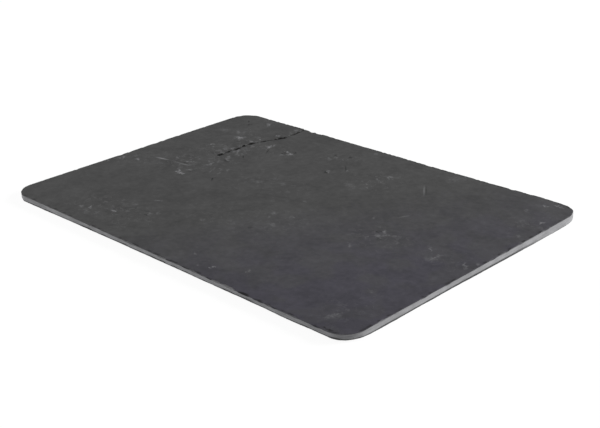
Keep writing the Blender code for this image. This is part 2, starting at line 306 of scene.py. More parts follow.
# Marks on the riven face, set down one by one, in millimetres: x, y, half length, half width, turn in
# degrees from the x axis, and strength. Above 0 the slate's skin is scuffed to pale powder, and below 0 it
# is pitted and dark.
MARKS = (
    # Over the far left corner
    (-134, 112.5, 4.4, 1.3, -40, 0.55), (-155, 79, 4.5, 3.5, 0, 0.22), (-148, 102, 2.2, 1.6, -20, -0.50),
    (-140, 82, 3.6, 1.1, -35, 0.45), (-128.8, 73.2, 1.7, 1.9, -45, 2.40), (-133, 74, 1.8, 0.9, 0, 0.25),
    (-126, 69, 1.6, 1.0, -30, 0.80), (-127, 77, 2.4, 1.5, -60, 0.33), (-117, 84, 2.6, 1.0, -45, 0.35),
    (-112, 80.5, 1.6, 1.0, -40, 1.20), (-113.5, 73, 1.6, 1.2, -45, 1.10),
    # On both sides of the crack
    (-107, 50, 3.8, 1.9, -60, 0.65), (-102, 46, 5.0, 1.0, -45, 0.45), (-104, 64, 1.7, 1.0, -40, 0.40),
    (-107, 67, 1.6, 1.0, 0, 0.45), (-97, 46, 2.2, 1.0, -45, 0.35),
    (-103, 55, 6.0, 2.5, -40, 0.22), (-100, 34, 2.6, 1.8, -60, 0.42), (-97, 30.5, 1.8, 0.9, -40, 0.65),
    (-114, 51, 2.0, 1.1, -70, 1.05), (-114, 39, 1.8, 1.1, -30, 0.60), (-114, 59, 1.4, 0.9, 0, 0.25),
    (-121, 50, 4.5, 1.6, -20, 0.22), (-117, 46, 3.0, 2.2, 0, 0.36), (-129, 43, 2.2, 1.0, -30, 0.55),
    (-135, 47.5, 1.8, 1.1, -40, 0.60), (-103, 108.5, 1.8, 1.4, -50, 0.30), (-104, 117, 1.8, 1.4, 0, 0.80),
    (-106, 97, 1.5, 1.2, 0, 1.10), (-96, 27, 4.0, 1.3, -10, -0.50), (-100, 12, 2.6, 1.1, 45, 0.70),
    (-100.5, 16, 2.0, 1.0, 100, 0.85), (-106, 18, 2.0, 1.2, 45, 0.65), (-100, 24, 3.2, 1.2, -40, 0.34),
    # Right of the crack, towards the back side
    (-92.5, 73.5, 2.8, 1.6, -60, 1.30), (-92, 78.5, 2.2, 1.1, -60, 0.85),
    (-72, 74, 2.1, 1.4, -30, 2.20), (-66.5, 71.5, 2.3, 1.6, -35, 1.20), (-71, 66, 2.2, 1.2, 0, 0.65),
    (-72, 70, 3.0, 0.9, -45, -0.85), (-66, 77, 1.8, 1.0, -30, -0.50), (-32.5, 90.5, 2.4, 1.1, -35, 0.45),
    (-35, 93.5, 1.8, 1.1, -40, -0.75), (-33, 85, 2.8, 1.1, -40, 0.45), (-23, 98, 2.2, 1.1, -40, -0.65),
    (-14, 63, 2.6, 1.2, -50, 0.50), (-15.5, 61, 2.2, 1.2, -45, -1.00),
    (-4, 74, 2.0, 0.8, -35, 0.75), (-12, 117, 2.6, 1.3, -50, 0.22),
    # The scuffs across the left end
    (-133, 6.5, 3.0, 1.3, -40, 0.40), (-119.5, 5.5, 2.0, 1.0, 45, 0.60), (-117, 7.5, 1.4, 1.1, 0, 0.90),
    (-113, 9, 1.6, 1.2, 0, 0.25), (-115, 11, 1.8, 0.8, 45, 0.30), (-111.5, 4.5, 2.4, 0.9, 45, 0.15),
    (-118, 3.2, 2.2, 1.0, 0, -0.80), (-138, -14, 8.0, 6.0, 30, 0.07), (-103.5, -5.5, 2.2, 1.1, 45, 0.40),
    (-99.5, -7, 2.0, 1.2, 45, -1.00), (-108.5, -12.5, 2.8, 1.3, -50, 0.90), (-103, -14.5, 2.6, 1.4, 5, 1.60),
    (-112, -8, 3.2, 1.1, -60, 0.26), (-155.5, -17, 3.4, 1.3, -25, 0.55), (-170, -24.5, 2.2, 1.0, -35, 0.40),
    (-168, -22.5, 3.6, 1.0, -40, 0.75), (-172.5, -35, 1.6, 1.5, 0, 0.45),
    (-84, 12, 2.8, 1.0, -40, 0.55), (-79, 15, 2.8, 1.1, -50, 0.40), (-79, 5, 2.8, 1.1, -60, 0.36),
    (-88, 4, 4.0, 1.2, -55, 0.28), (-73, -7, 3.0, 0.9, -55, -1.00), (-71, -63.5, 2.8, 1.3, 40, 0.45),
    # Across the middle
    (-24.5, 22, 3.4, 2.2, -10, 0.20), (-41.5, 13, 2.8, 2.2, 0, 0.25), (13.5, 7.5, 2.4, 1.3, -45, 0.30),
    (12, -23, 3.2, 1.6, -45, 0.30), (14, -30, 2.2, 1.6, -40, 0.25), (26.5, -20, 2.2, 1.1, -45, 0.25),
    (26.5, -38.5, 3.4, 2.2, -10, 0.35), (-19, -64.8, 2.0, 1.6, 0, 0.30), (16, -51.5, 2.2, 1.1, -30, -0.30),
    # Along the front side
    (-81, -96.5, 1.8, 1.4, 0, 0.85), (-79, -79, 3.2, 1.6, -20, 0.24), (-57, -82, 2.0, 1.3, -45, 0.32),
    (-56, -85, 1.6, 1.0, 0, -0.90), (-61, -81, 1.6, 1.1, 0, -0.80), (-52, -78, 2.6, 1.1, -35, 0.32),
    (-107.5, -106.5, 2.4, 1.6, 0, 0.43), (-100.5, -103, 2.2, 1.1, -40, 0.95),
    (-97, -110, 4.5, 1.6, -40, 0.20), (20, -105, 1.7, 1.0, -30, 0.32),
    (35.5, -115.5, 1.5, 1.2, 0, 0.22), (46, -112, 1.4, 1.0, 0, 1.15), (66, -100, 2.0, 1.1, -50, 0.32),
    (158, -121, 4.0, 1.0, 15, -0.90),
    # The right end and the back right corner
    (30.5, 83.5, 3.2, 1.0, -45, 1.10), (27.5, 84.5, 1.6, 1.2, 0, 0.20), (31.5, 82, 1.4, 1.0, 0, -0.50),
    (26.5, 75.5, 2.8, 1.1, -40, 0.26), (30, 72.5, 3.5, 1.6, 0, 0.10), (25.5, 62.5, 1.8, 1.5, 0, 0.38),
    (30.8, 56.8, 2.3, 1.3, -45, 0.45), (17, 52.5, 4.0, 2.6, -20, 0.22), (152, 112.5, 2.0, 1.3, -60, 1.00),
    (147, 97.5, 2.4, 1.3, -55, 0.28), (165.7, 86, 2.4, 1.2, -55, 1.05), (157, 76, 6.5, 2.2, -60, 0.14),
    (167, 57, 2.4, 1.0, -60, 0.45), (72, 114, 9.0, 6.0, 40, 0.20), (103, 93, 5.0, 5.0, 0, -0.08),
    (109.5, 36, 3.2, 2.6, 0, -0.16), (72, 17, 2.6, 0.9, -48, 0.24), (93.5, 3.5, 2.6, 1.6, -60, 0.85),
    (94, -4, 2.0, 1.6, 0, 0.45), (98, -0.5, 2.8, 1.6, 30, 0.40), (90, 1, 1.8, 1.3, 0, -0.85),
    (98, -8, 2.4, 1.1, -30, -0.40), (103, 2.5, 1.8, 1.4, 0, 0.30), (111.5, -4, 2.0, 1.0, -50, 0.36),
    (90.5, -11, 1.8, 0.9, -45, 0.28), (89.5, -27.5, 2.8, 1.2, -50, 0.42), (135.5, 2.5, 3.4, 1.0, -52, 0.42),
    (145.5, -5.5, 4.2, 1.8, 75, 0.40), (144.5, -11, 3.6, 2.2, 0, 0.18), (167, -3, 4.4, 1.2, -52, 0.46),
    (145, -69.5, 2.8, 1.2, -20, 0.28), (151.5, -104.5, 2.4, 1.8, -45, 0.28), (149, -109, 3.6, 2.6, 75, 0.30),
    (172, 5, 2.2, 1.1, -40, 0.30), (158.5, 119, 1.4, 1.0, 0, 0.90), (163, 118.5, 1.2, 0.8, 0, 0.75),
)
# Straight scratches and scores, given as the marks are.
SCRATCHES = (
    (-140.5, -3, 5.6, 0.9, 13, 1.20), (-121, -0.4, 7.5, 0.8, 4, 0.45), (-114.5, 0.8, 4.0, 0.8, 10, 0.55),
    (67.4, 80.2, 8.5, 0.6, -52, 0.55), (68.7, 81.3, 8.0, 0.6, -52, -0.35), (87, 33.5, 4.2, 1.0, 65, 0.35),
    (-9, 77, 6.0, 0.5, -46, -0.65), (-86, 65, 4.7, 0.7, -58, -0.60), (-92, 43, 2.7, 0.6, -42, -0.80),
    (-155, 108, 2.4, 0.7, -45, -0.75),
)
# Where fine lines gather, given as the marks are.
WORN_AREAS = (
    (-128, 0, 36, 15, 15, 0.8), (-110, 40, 28, 28, 0, 0.8), (-132, 82, 19, 13, 0, 0.7),
    (-85, 72, 24, 10, 0, 0.6), (-85, -95, 36, 18, 0, 0.8), (-165, -22, 10, 12, 0, 0.7),
    (-35, 15, 33, 21, 0, 0.4), (20, -30, 28, 28, 0, 0.3), (28, 72, 18, 21, 0, 0.7),
    (-25, 90, 18, 16, 0, 0.5), (97, -5, 20, 18, 0, 0.5), (150, 0, 18, 18, 0, 0.3),
    (160, 80, 12, 24, 0, 0.4), (150, -95, 16, 22, 0, 0.3), (-20, -55, 25, 18, 0, 0.3),
)
# A mark fades out at this many times its half length and half width, and this far above and below the
# height of THICKNESS.
FADE_OUT = 1.5
MARK_THICKNESS = 3.0 * MM
# A pit is this many times as dark as a scuff of the same strength is pale.
PIT_DARKNESS = 1.4
# The marks and fine lines waver by about a tenth of this, over the size in millimetres.
SWAY = 7.0 * MM
SWAY_SIZE = 3.5

# The finishes are made of noises, each with its size in millimetres and its detail. Those of the tone,
# from dark to light, also have a share: three on the riven face, and two on the sawn one, of which the
# first is stretched along the layers.
CLOUDS = (75.0, 2.0, 0.18)
BLOTCHES = (16.0, 2.0, 0.42)
MOTTLE = (4.5, 2.0, 0.40)
LAYERS = (6.0, 3.0, 0.60)
DUSTING = (12.0, 2.0, 0.50)
LAYER_STRETCH = 14.0
# Violet grows along this way over the riven face, as the place's dot product with it goes from the start
# to the full value, and veils of this size and detail vary it.
VIOLET_WAY = (1.0, -0.6, 0.0)
VIOLET_START = 20.0 * MM
VIOLET_FULL = 200.0 * MM
VEILS = (22.0, 1.0)
# The grain that makes marks ragged, and the grit and the saw's scores, which are only bump, with their
# depth.
GRAIN = (1.4, 3.0)
GRIT = (3.0, 3.0)
GRIT_DEPTH = 0.15 * MM
SCORES = (2.0, 3.0)
SCORE_DEPTH = 0.08 * MM
# Fine lines follow the middle of a noise: its size in millimetres, and how much of it to each side. The
# noise that breaks them up is this share of that size.
LONG_PALE_LINES = (12.0, 0.016)
SHORT_PALE_LINES = (7.0, 0.020)
DARK_LINES = (9.0, 0.018)
LINE_GAPS = 0.45
# How strong the fine lines are where they gather, and how strong everywhere.
LINES_GATHERED = 0.35
LINES_EVERYWHERE = 0.04

# The camera: its turn, height and roll in degrees, how far it is, what it looks at, and its lens.
CAMERA_TURN = 45.306
CAMERA_RISE = 23.249
CAMERA_ROLL = -1.927
CAMERA_DISTANCE = 0.80844
CAMERA_AIM = Vector((0.01891, -0.00338, 0.0))
CAMERA_LENS = 66.333

# The studio: its floor's size, distance under the slab, grey and glow, and the strength of its surround.
FLOOR_SIZE = 14.0
FLOOR_DROP = 0.1 * MM
FLOOR_GREY = (0.10, 0.10, 0.10, 1.0)
FLOOR_GLOW = 0.92
SURROUND = 0.30
WHITE = (1.0, 1.0, 1.0, 1.0)


def smoothstep(t):
    """3 t squared minus 2 t cubed, with t held between 0 and 1."""
    t = np.clip(t, 0.0, 1.0)
    return t * t * (3.0 - 2.0 * t)


def swells(x, y, size, seed, lattice=COARSE_LATTICE):
    """Smooth random heights between -1 and 1: a lattice of random values, one for each size along x and
    y, blended between its points by smoothstep."""
    values = np.random.default_rng(seed).uniform(-1.0, 1.0, (lattice, lattice))
    u, v = x / size + lattice / 2, y / size + lattice / 2
    i, j = np.floor(u).astype(int), np.floor(v).astype(int)
    s, t = smoothstep(u - i), smoothstep(v - j)
    i, j, after_i, after_j = i % lattice, j % lattice, (i + 1) % lattice, (j + 1) % lattice
    low = values[i, j] * (1 - s) + values[after_i, j] * s
    high = values[i, after_j] * (1 - s) + values[after_i, after_j] * s
    return low * (1 - t) + high * t


def turned_swells(x, y, size, seed):
    """Fine swells on axes turned by the seed in radians, so that no two layers line up."""
    c, s = np.cos(seed), np.sin(seed)
    return swells(c * x - s * y, s * x + c * y, size, seed, FINE_LATTICE)


def nearest_core(x, y):
    """The nearest point of the rectangle that the four corner centres make."""
    reach_x, reach_y = LENGTH / 2 - CORNER_RADIUS, WIDTH / 2 - CORNER_RADIUS
    return np.clip(x, -reach_x, reach_x), np.clip(y, -reach_y, reach_y)


def outward_of(x, y):
    """Unit vector out of the slab: from the nearest point of the corner centres' rectangle."""
    core_x, core_y = nearest_core(x, y)
    size = np.maximum(np.hypot(x - core_x, y - core_y), TINY)
    return (x - core_x) / size, (y - core_y) / size


def inset_of(x, y):
    """Distance in from the outline: the corner radius less the distance out of the corner centres'
    rectangle, or inside it the radius plus the distance in from its nearest side."""
    out_x = np.abs(x) - (LENGTH / 2 - CORNER_RADIUS)
    out_y = np.abs(y) - (WIDTH / 2 - CORNER_RADIUS)
    out = np.hypot(np.maximum(out_x, 0), np.maximum(out_y, 0)) + np.minimum(np.maximum(out_x, out_y), 0)
    return np.maximum(CORNER_RADIUS - out, 0)


def way_round(x, y):
    """Distance round the outline, counter-clockwise from the left end of the front side: the straights
    covered so far, plus the corner radius times the angle turned."""
    core_x, core_y = nearest_core(x, y)
    reach_x, reach_y = LENGTH / 2 - CORNER_RADIUS, WIDTH / 2 - CORNER_RADIUS
    out_x, out_y = outward_of(x, y)
    turned = np.mod(np.arctan2(out_y, out_x) + np.pi / 2, 2 * np.pi)
    along_x = np.where(turned < 0.75 * np.pi, reach_x + core_x, 3 * reach_x - core_x)
    along_y = np.where(turned < 1.25 * np.pi, reach_y + core_y, 3 * reach_y - core_y)
    return along_x + along_y + CORNER_RADIUS * turned


def round_swells(run, z, size, height, seed):
    """Smooth random values between -1 and 1 over the edge: a lattice that closes on itself round the
    slab, one value for each size along it and each height up it."""
    across = int(round(OUTLINE_LENGTH / size))
    values = np.random.default_rng(seed).uniform(-1.0, 1.0, (across, COARSE_LATTICE))
    u, v = run / OUTLINE_LENGTH * across, z / height + 1
    i, j = np.floor(u).astype(int), np.floor(v).astype(int)
    s, t = smoothstep(u - i), smoothstep(v - j)
    i, after = i % across, (i + 1) % across
    low = values[i, j] * (1 - s) + values[after, j] * s
    high = values[i, j + 1] * (1 - s) + values[after, j + 1] * s
    return low * (1 - t) + high * t


def swells_along(run, size, seed):
    """Smooth random values between -1 and 1 that change round the slab alone: those over the edge, read
    along its foot."""
    return round_swells(run, 0 * run, size, size, seed)


def crack_x(y):
    """Where the crack is across the slab: straight runs between its bends."""
    return np.interp(y, *zip(*CRACK_BENDS))


def crack_half_width(y):
    """A hairline, opened along each stroke to the stroke's half width times the root of 1 less the square
    of the place in the stroke, which is a lens, and made ragged by fine swells."""
    half = np.full_like(y, CRACK_HAIRLINE)
    for start, end, width in CRACK_STROKES:
        place = (y - (start + end) / 2) / ((end - start) / 2)
        half = np.maximum(half, width * np.sqrt(np.clip(1 - place**2, 0, 1)))
    size, share, seed = CRACK_RAGGED
    return half * (1 + share * turned_swells(0 * y, y, size, seed))


def crack_opening(x, y, wider=0.0):
    """From 0 beside the crack to 1 in its middle, over a short steep side, for a crack that is wider by
    that share. It fades at its inner end."""
    beside = np.abs(x - crack_x(y))
    inside = smoothstep((crack_half_width(y) * (1 + wider) - beside) / CRACK_SIDE + 0.5)
    return inside * smoothstep((y - CRACK_END_Y) / CRACK_FADE)


def riven_height(x, y):
    """The split face: thickness, plus Gaussian rises, plus swells, plus the layer left of the crack, which
    falls off with the distance from the crack and grows towards the back side."""
    height = THICKNESS + 0 * x
    for rise_x, rise_y, reach_x, reach_y, rise in RISES:
        height = height + rise * np.exp(-(((x - rise_x) / reach_x) ** 2) - ((y - rise_y) / reach_y) ** 2)
    for size, rise, seed in RELIEF:
        height = height + rise * swells(x, y, size, seed)
    left_of_crack = crack_x(y) - x
    on_layer = (left_of_crack > 0) * np.clip(1 - left_of_crack / LEDGE_REACH, 0, 1)
    return height + LEDGE_HEIGHT * on_layer * smoothstep((y - CRACK_END_Y) / (WIDTH / 2 - CRACK_END_Y))


def flake_height(x, y):
    """Flat flakes one over another: a sum of swells of falling size and share, cut into whole levels, with
    a short slope from each level up to the next."""
    level = FLAKE_LEVELS * sum(share * turned_swells(x, y, size, seed) for size, share, seed in FLAKE_FIELD)
    whole = np.floor(level)
    return FLAKE_STEP * (whole + smoothstep((level - whole - 1) / FLAKE_SLOPE + 1))


def chips(x, y):
    """How far the chips lower the face, and how they look: fresh and pale, or with their hollow painted dark
    as shade. Each is the lower half of an ellipsoid centred on the arris: its drop times the root of 1 less
    the squares of the place along it and into it. Where two meet, the deeper one counts."""
    drop, look = 0 * x, 0 * x
    sides = (
        (FRONT_CHIPS, x, y + WIDTH / 2),
        (BACK_CHIPS, x, WIDTH / 2 - y),
        (RIGHT_CHIPS, y, LENGTH / 2 - x),
    )
    for side, along, inset in sides:
        for place, length, bite, depth, freshness_and_shade in side:
            left = 1 - ((along / MM - place) / (length / 2)) ** 2 - (inset / MM / bite) ** 2
            here = depth * MM * np.sqrt(np.clip(left, 0, 1))
            look = np.where(here > drop, freshness_and_shade, look)
            drop = np.maximum(drop, here)
    return drop, look


def nibble_drop(run, inset):
    """Small losses all round the arris: the drop times how far the swells are past their start, falling
    evenly from the outline to nothing at the end of the bite."""
    strength = (swells_along(run, NIBBLE_SIZE, NIBBLE_SEED) - NIBBLE_FROM) / (1 - NIBBLE_FROM)
    strength = np.clip(strength, 0, 1)
    return NIBBLE_DROP * strength * np.clip(1 - inset / (NIBBLE_BITE * strength + TINY), 0, 1)


def rim_spots(run, inset):
    """Dips just inside the arris, which are also painted dark as shade, from 0 to 1: swells round the slab
    where they are high, times a Gaussian of the distance in."""
    high = smoothstep((swells_along(run, RIM_SIZE, RIM_SEED) - RIM_FROM) / RIM_RISE)
    return high * np.exp(-(((inset - RIM_INSET) / RIM_WIDTH) ** 2))


def corner_reach(x, y):
    """How far a point moves out because its corner's arc isn't even: for each place, its reach times a
    Gaussian of the angle from it, times the square of the distance from the arc's centre in radii."""
    core_x, core_y = nearest_core(x, y)
    share = np.hypot(x - core_x, y - core_y) / CORNER_RADIUS
    angle = np.degrees(np.mod(np.arctan2(y - core_y, x - core_x), 2 * np.pi))
    reach = sum(far * np.exp(-(((angle - way) / spread) ** 2)) for way, spread, far in CORNER_REACH)
    return reach * share**2


def lower_break(x, y):
    """Inset of the foot and height of the break there, read along the way round that the place is on."""
    run = (x + LENGTH / 2) + (y + WIDTH / 2)
    front, back = (
        [np.interp(run, distances, values) for values in (insets, heights)]
        for distances, insets, heights in (zip(*FRONT_WAY_BREAK), zip(*BACK_WAY_BREAK))
    )
    on_front_way = x / LENGTH > y / WIDTH
    return [np.where(on_front_way, f, b) for f, b in zip(front, back)]


def grid_lines(half):
    """Places from -half to half: an even step between, and the rim's closer steps at both ends."""
    inner = half - RIM_STEPS.sum()
    count = 2 * int(np.ceil(inner / GRID_STEP))
    rim = inner + np.cumsum(RIM_STEPS)
    return np.concatenate((-rim[::-1], np.linspace(-inner, inner, count + 1), rim))


def rounded(x, y):
    """Draws the rectangle's corners in to arcs. In a corner square, a and b are how far out a point is
    along x and y, as shares of the radius. It moves to (a, b) times the larger of the two over the length
    of (a, b), so that squares about the arc's centre become arcs."""
    reach_x, reach_y = LENGTH / 2 - CORNER_RADIUS, WIDTH / 2 - CORNER_RADIUS
    a = np.maximum(np.abs(x) - reach_x, 0) / CORNER_RADIUS
    b = np.maximum(np.abs(y) - reach_y, 0) / CORNER_RADIUS
    in_corner = (a > 0) & (b > 0)
    draw_in = np.where(in_corner, np.maximum(a, b) / np.maximum(np.hypot(a, b), TINY), 1.0)
    new_x = np.where(in_corner, np.sign(x) * (reach_x + a * draw_in * CORNER_RADIUS), x)
    new_y = np.where(in_corner, np.sign(y) * (reach_y + b * draw_in * CORNER_RADIUS), y)
    return new_x, new_y


def leaned(x, y):
    """Moves points along x, so that one line of the grid runs along the crack and the lines beside it
    crowd in: the distance d from that line becomes d times 1 less a share of a Gaussian of d."""
    beside = x - CRACK_LINE
    along = smoothstep((y - CROWD_START_Y) / (CRACK_END_Y - CROWD_START_Y))
    crowd = 1 - along * CROWD_SHARE * np.exp(-((beside / CROWD_REACH) ** 2))
    lean = smoothstep(1 - np.abs(beside) / LEAN_REACH)
    return CRACK_LINE + beside * crowd + lean * (crack_x(y) - CRACK_LINE)


def face_points():
    """The riven face over the grid: x, y, z, and the pale share and the dark share, which is painted shade,
    that the finish reads there.
    """
    x, y = np.meshgrid(grid_lines(LENGTH / 2), grid_lines(WIDTH / 2), indexing="ij")
    x, y = rounded(x, y)
    x = leaned(x, y)
    inset, run = inset_of(x, y), way_round(x, y)
    z = riven_height(x, y) + flake_height(x, y)
    for size, height, seed in FINE_RELIEF:
        z = z + height * turned_swells(x, y, size, seed)
    chipped, look = chips(x, y)
    nibbled = nibble_drop(run, inset)
    opening = crack_opening(x, y)
    depth = CRACK_DEPTH * np.clip(crack_half_width(y) / CRACK_FULL_DEPTH_AT, 0, 1)
    # Dips at the rim, away from pale chips; the dark share paints shade into them.
    rim = rim_spots(run, inset) * (look <= 0)
    z = z - np.maximum(chipped, nibbled) - RIM_DIP * rim - opening * depth
    # Painted shade on the crack's walls, carried in the dark share.
    shade = crack_opening(x, y, CRACK_PAINTED_SHADE)
    lost = smoothstep(chipped / CHIP_EDGE)
    pale = np.clip(lost * np.maximum(look, 0) + NIBBLE_PALE * nibbled / NIBBLE_DROP, 0, 1)
    # Painted shade: the hollows of chips that look below 0, the crack's walls and the dips at the rim.
    dark = np.maximum(np.maximum(lost * np.maximum(-look, 0), shade), RIM_PAINTED_SHADE * rim)
    out_x, out_y = outward_of(x, y)
    reach = corner_reach(x, y)
    slant = opening * CRACK_SLANT * depth / CRACK_DEPTH
    return x + out_x * reach - slant, y + out_y * reach, z, pale, dark


def dark_stone_and_shade_strip(x, y, z):
    """The dark strip low on the right side, partly darker stone and partly painted shade of the foot:
    smoothsteps of the height left up to its own, of the distance left to its end, and of how far the side
    faces right, multiplied."""
    up = smoothstep((STRIP_HEIGHT - z) / STRIP_EDGE + 0.5)
    along = smoothstep((STRIP_END - y) / STRIP_FADE)
    faces_right, _ = outward_of(x, y)
    return up * along * smoothstep(faces_right)


def edge_points(x, y, top):
    """The edge under the upper arris, one row of points under another, from the points of the arris. A row
    on the sawn face is a share of the way down to the break, and a row on the break a share of the rest.
    Each point is in from the outline by the relief and by the foot's inset times a power of its share of
    the break, and out by the lean, which grows evenly downwards. Returns x, y, z and both shares."""
    out_x, out_y = outward_of(x, y)
    run = way_round(x, y)
    foot_inset, break_height = lower_break(x, y)
    size, share, seed = BREAK_VARIES
    break_height = break_height * (1 + share * swells_along(run, size, seed))
    on_face = np.arange(1, FACE_ROWS + 1)[:, None] / FACE_ROWS
    on_break = np.arange(1, BREAK_ROWS + 1)[:, None] / BREAK_ROWS
    z = np.concatenate((top + on_face * (break_height - top), break_height * (1 - on_break)))
    below = np.clip(1 - z / break_height, 0, 1)
    relief = 0 * z
    for size, height, depth, seed in EDGE_RELIEF:
        relief = relief + depth * (0.5 + 0.5 * round_swells(run + 0 * z, z, size, height, seed))
    relief = relief * (1 + (FOOT_ROUGHNESS - 1) * np.sqrt(below)) * smoothstep((top - z) / EDGE_RELIEF_START)
    lean = np.interp(y, *zip(*LEAN_OUT)) * smoothstep(out_x) * np.clip(1 - z / THICKNESS, 0, 1)
    out = lean - relief - foot_inset * below**BREAK_CURVE
    pale = smoothstep((z - break_height - POWDER_END) / POWDER_FADE + 1)
    return x + out_x * out, y + out_y * out, z, pale, dark_stone_and_shade_strip(x, y, z)


def underside_points(x, y):
    """The underside: in from the outline by the foot's inset and a clearance, less towards the middle, and
    rising from the foot over the margin to a shallow hollow with swells in it."""
    inset = inset_of(x, y)
    foot_inset, _ = lower_break(x, y)
    out_x, out_y = outward_of(x, y)
    shift = (foot_inset + UNDERSIDE_CLEAR) * np.clip(1 - inset / UNDERSIDE_MARGIN, 0, 1)
    x, y = x - out_x * shift, y - out_y * shift
    hollow = UNDERSIDE_EVEN
    for size, share, seed in UNDERSIDE_SWELLS:
        hollow = hollow + share * turned_swells(x, y, size, seed)
    return x, y, UNDERSIDE_HOLLOW * hollow * smoothstep(inset / UNDERSIDE_MARGIN)


def border(columns, rows):
    """Column and row of each point of the grid's border, counter-clockwise from the front left corner."""
    along, up = np.arange(columns), np.arange(rows)
    i = np.concatenate((along, np.full(rows, columns), columns - along, np.zeros(rows, int)))
    j = np.concatenate((np.zeros(columns, int), up, np.full(columns, rows), rows - up))
    return i, j


def quads(a, b, c, d):
    """Faces from four arrays of point numbers, one array for each corner."""
    return np.stack((a, b, c, d), axis=-1).reshape(-1, 4).tolist()


def underside_faces(under, foot):
    """Faces seen from below. under holds the point numbers of the coarse grid, and foot those of the fine
    grid, of which only the border is read: a border cell also takes the foot's point between its own two,
    so that the coarse grid closes on the fine foot."""
    a, b, c, d = under[:-1, :-1], under[:-1, 1:], under[1:, 1:], under[1:, :-1]
    left, back, right, front = foot[0, 1::2], foot[1::2, -1], foot[-1, 1::2], foot[1::2, 0]
    inner = slice(1, -1)
    faces = quads(*(corner[inner, inner] for corner in (a, b, c, d)))
    borders = (
        (a[0, inner], left[inner], b[0, inner], c[0, inner], d[0, inner]),
        (a[inner, -1], b[inner, -1], back[inner], c[inner, -1], d[inner, -1]),
        (a[-1, inner], b[-1, inner], c[-1, inner], right[inner], d[-1, inner]),
        (a[inner, 0], b[inner, 0], c[inner, 0], d[inner, 0], front[inner]),
    )
    for cells in borders:
        faces += np.stack(cells, axis=-1).tolist()
    corners = (
        (a[0, 0], left[0], b[0, 0], c[0, 0], d[0, 0], front[0]),
        (a[0, -1], left[-1], b[0, -1], back[0], c[0, -1], d[0, -1]),
        (a[-1, -1], b[-1, -1], back[-1], c[-1, -1], right[-1], d[-1, -1]),
        (a[-1, 0], b[-1, 0], c[-1, 0], right[0], d[-1, 0], front[-1]),
    )
    return faces + np.array(corners).tolist()


def slab_surface(riven, sawn):
    """The slab's closed surface, with its two finishes and the shares that they read."""
    x, y, z, pale, dark = face_points()
    columns, rows = x.shape[0] - 1, x.shape[1] - 1
    i, j = border(columns, rows)
    edge_x, edge_y, edge_z, edge_pale, edge_dark = edge_points(x[i, j], y[i, j], z[i, j])

    numbers = np.arange(x.size).reshape(x.shape)
    edge_numbers = x.size + np.arange(edge_x.size).reshape(edge_x.shape)
    rings = np.concatenate((numbers[i, j][None], edge_numbers))
    onward = np.roll(rings, -1, axis=1)
    foot = np.full_like(numbers, -1)
    foot[i, j] = edge_numbers[-1]

    step = UNDERSIDE_STRIDE
    inner = (slice(1, -1), slice(1, -1))
    under_x, under_y, under_z = (p[inner] for p in underside_points(x[::step, ::step], y[::step, ::step]))
    under = foot[::step, ::step].copy()
    under[inner] = x.size + edge_x.size + np.arange(under_x.size).reshape(under_x.shape)

    faces = quads(numbers[:-1, :-1], numbers[1:, :-1], numbers[1:, 1:], numbers[:-1, 1:])
    face_count = len(faces)
    faces += quads(rings[1:], onward[1:], onward[:-1], rings[:-1])
    edge_end = len(faces)
    faces += underside_faces(under, foot)

    parts = ((x, y, z), (edge_x, edge_y, edge_z), (under_x, under_y, under_z))
    points = np.concatenate([np.stack([axis.ravel() for axis in part], axis=1) for part in parts])
    mesh = bpy.data.meshes.new("slate_slab")
    mesh.from_pydata(points, [], faces)
    finish = np.zeros(len(faces), np.int32)
    finish[face_count:edge_end] = 1
    mesh.polygons.foreach_set("material_index", finish)
    none_under = np.zeros(under_x.size)
    shares = {"pale": (pale.ravel(), edge_pale.ravel(), none_under),
              "dark": (dark.ravel(), edge_dark.ravel(), none_under)}
    for name, values in shares.items():
        attribute = mesh.attributes.new(name, "FLOAT", "POINT")
        attribute.data.foreach_set("value", np.concatenate(values).astype(np.float32))
    mesh.shade_smooth()
    mesh.set_sharp_from_angle(angle=np.radians(SHARP_ANGLE))
    mesh.materials.append(riven)
    mesh.materials.append(sawn)
    slab = bpy.data.objects.new("slate_slab", mesh)
    bpy.context.scene.collection.objects.link(slab)
    return slab


def linear(hex_colour):
    """An sRGB hex colour as linear red, green, blue and alpha."""
    srgb = np.array([int(hex_colour[k:k + 2], 16) / 255 for k in (1, 3, 5)])
    return (*np.where(srgb <= 0.04045, srgb / 12.92, ((srgb + 0.055) / 1.055) ** 2.4), 1.0)


def set_inputs(tree, made, inputs):
    """Sets a node's inputs, by name or number, to plain values, or links them to an output, or to the
    first output in use of a node."""
    for key, value in inputs.items():
        if isinstance(value, bpy.types.Node):
            value = next(output for output in value.outputs if output.enabled)
        if isinstance(value, bpy.types.NodeSocket):
            tree.links.new(value, made.inputs[key])
        else:
            made.inputs[key].default_value = value


def node(tree, kind, inputs=None, **settings):
    """Adds a shader node with its settings, and sets or links its inputs."""
    made = tree.nodes.new("ShaderNode" + kind)
    for name, value in settings.items():
        setattr(made, name, value)
    set_inputs(tree, made, inputs or {})
    return made


def new_material(name):
    """A new material, its node tree and its shader."""
    material = bpy.data.materials.new(name)
    material.use_nodes = True
    return material, material.node_tree, material.node_tree.nodes["Principled BSDF"]


def per_mm(size):
    """The Scale of a noise whose features are this many millimetres across."""
    return 1 / (size * MM)


def tone(tree, *layers):
    """The sum of layers of noise, each read at its own place and times its share."""
    total = 0.0
    for place, (size, detail, share) in layers:
        layer = node(tree, "TexNoise", {"Vector": place, "Scale": per_mm(size), "Detail": detail})
        total = node(tree, "Math", {0: layer.outputs["Fac"], 1: share, 2: total},
                     operation="MULTIPLY_ADD")
    return total


